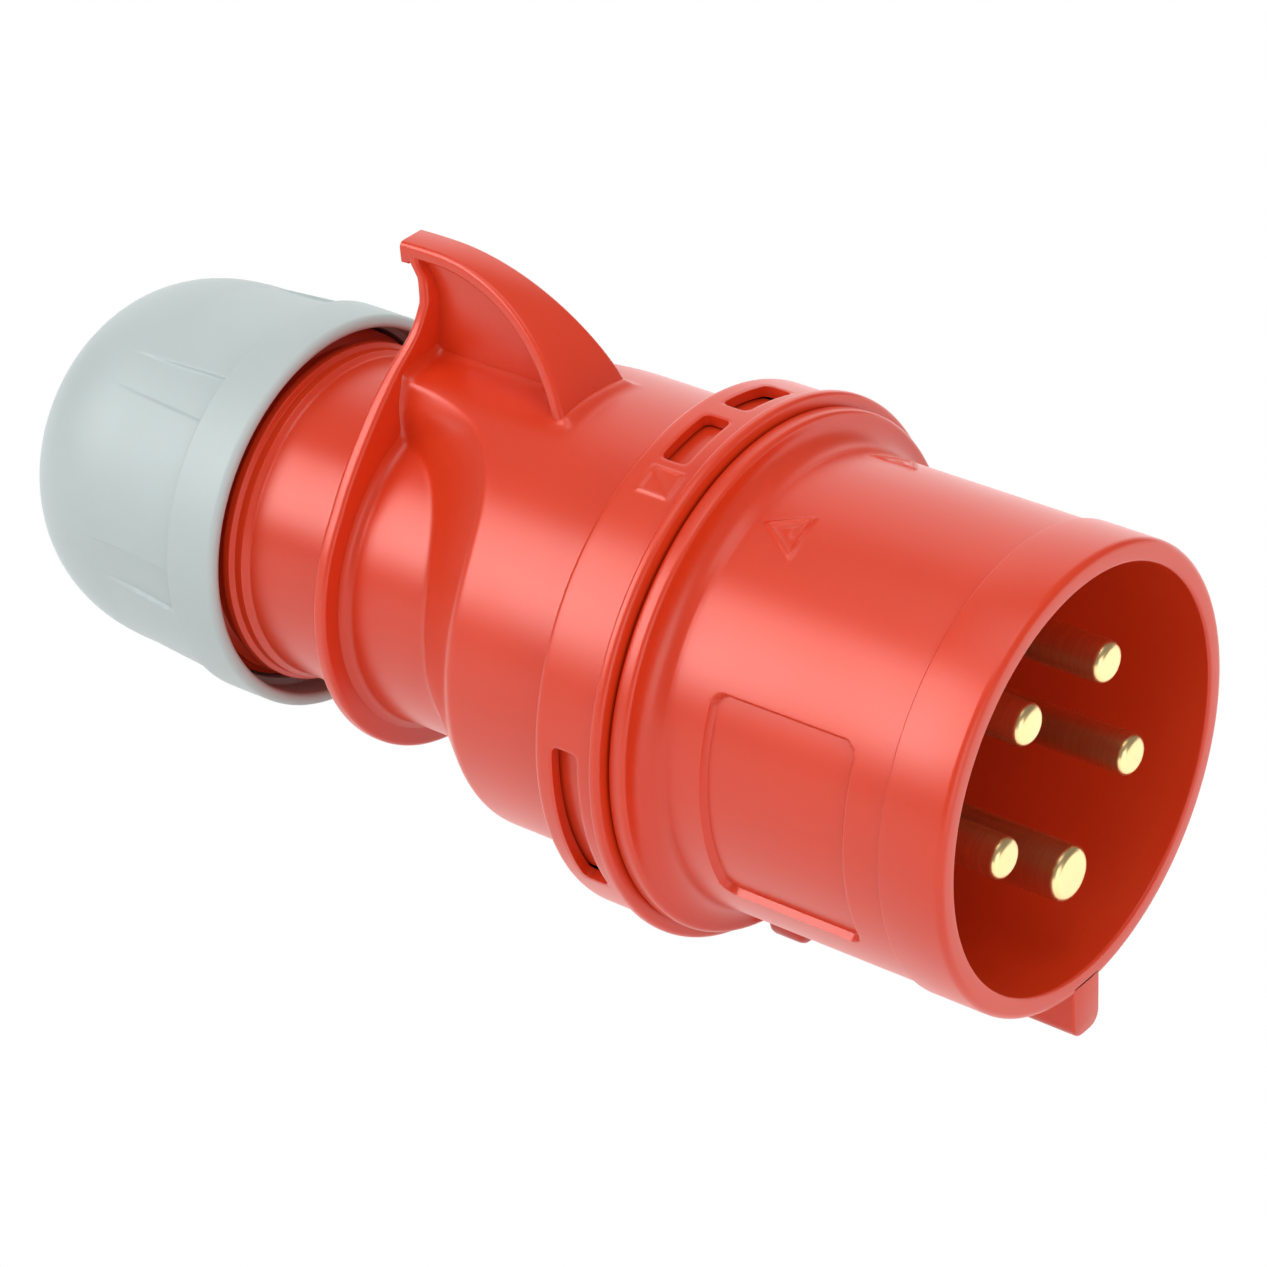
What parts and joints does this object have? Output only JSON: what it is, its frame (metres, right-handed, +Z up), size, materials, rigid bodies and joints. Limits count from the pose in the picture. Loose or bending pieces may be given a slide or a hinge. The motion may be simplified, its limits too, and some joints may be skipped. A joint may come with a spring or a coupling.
{
  "type": "industrial pin and sleeve plug",
  "caption": "Red pin and sleeve plug with round shrouded contacts, an underside key, a finned twist-lock handle and a pale grey gland nut.",
  "frame": {"origin": "on the plug's axis, in the plane of the mouth's rim", "axes": "+X along the plug's axis out of the mouth, +Z up through the middle of the fin, +Y to complete a right-handed frame; the key is at -Z"},
  "size_m": [0.1743, 0.0782, 0.0901],
  "materials": {
    "red_housing": "satin",
    "grey_gland": "satin",
    "contact_brass": "satin",
    "screw_steel": "satin",
    "seal_rubber": "matte",
    "insulator": "matte"
  },
  "bodies": {
    "front": {"shroud": "red_housing", "pin_carrier": "insulator", "retaining_plate": "insulator", "plate_screw_upper": "screw_steel", "plate_screw_lower": "screw_steel", "pin_l1": "contact_brass", "pin_l2": "contact_brass", "pin_l3": "contact_brass", "pin_neutral": "contact_brass", "pin_earth": "contact_brass", "terminal_screw_l1": "screw_steel", "terminal_screw_l2": "screw_steel", "terminal_screw_l3": "screw_steel", "terminal_screw_neutral": "screw_steel", "terminal_screw_earth": "screw_steel", "housing_seal": "seal_rubber"},
    "grip": {"handle": "red_housing", "cable_seal": "seal_rubber"},
    "gland_follower": {"pressure_ring": "insulator", "clamp_cage": "grey_gland"},
    "nut": {"gland_nut": "grey_gland"}
  },
  "joints": [
    {"name": "handle_twist", "type": "hinge", "parent": "front", "child": "grip", "pos_m": [-0.056, 0, 0], "axis": [1, 0, 0], "range_deg": [-40, 0]},
    {"name": "nut_travel", "type": "slide", "parent": "grip", "child": "gland_follower", "axis": [-1, 0, 0], "range_m": [0, 0.009]},
    {"name": "nut_turn", "type": "hinge", "parent": "gland_follower", "child": "nut", "pos_m": [-0.15, 0, 0], "axis": [-1, 0, 0], "range_deg": [0, 1080]}
  ],
  "couplings": [
    {"joint": "nut_travel", "follows": "nut_turn", "m_per_rad": 0.00047746}
  ]
}
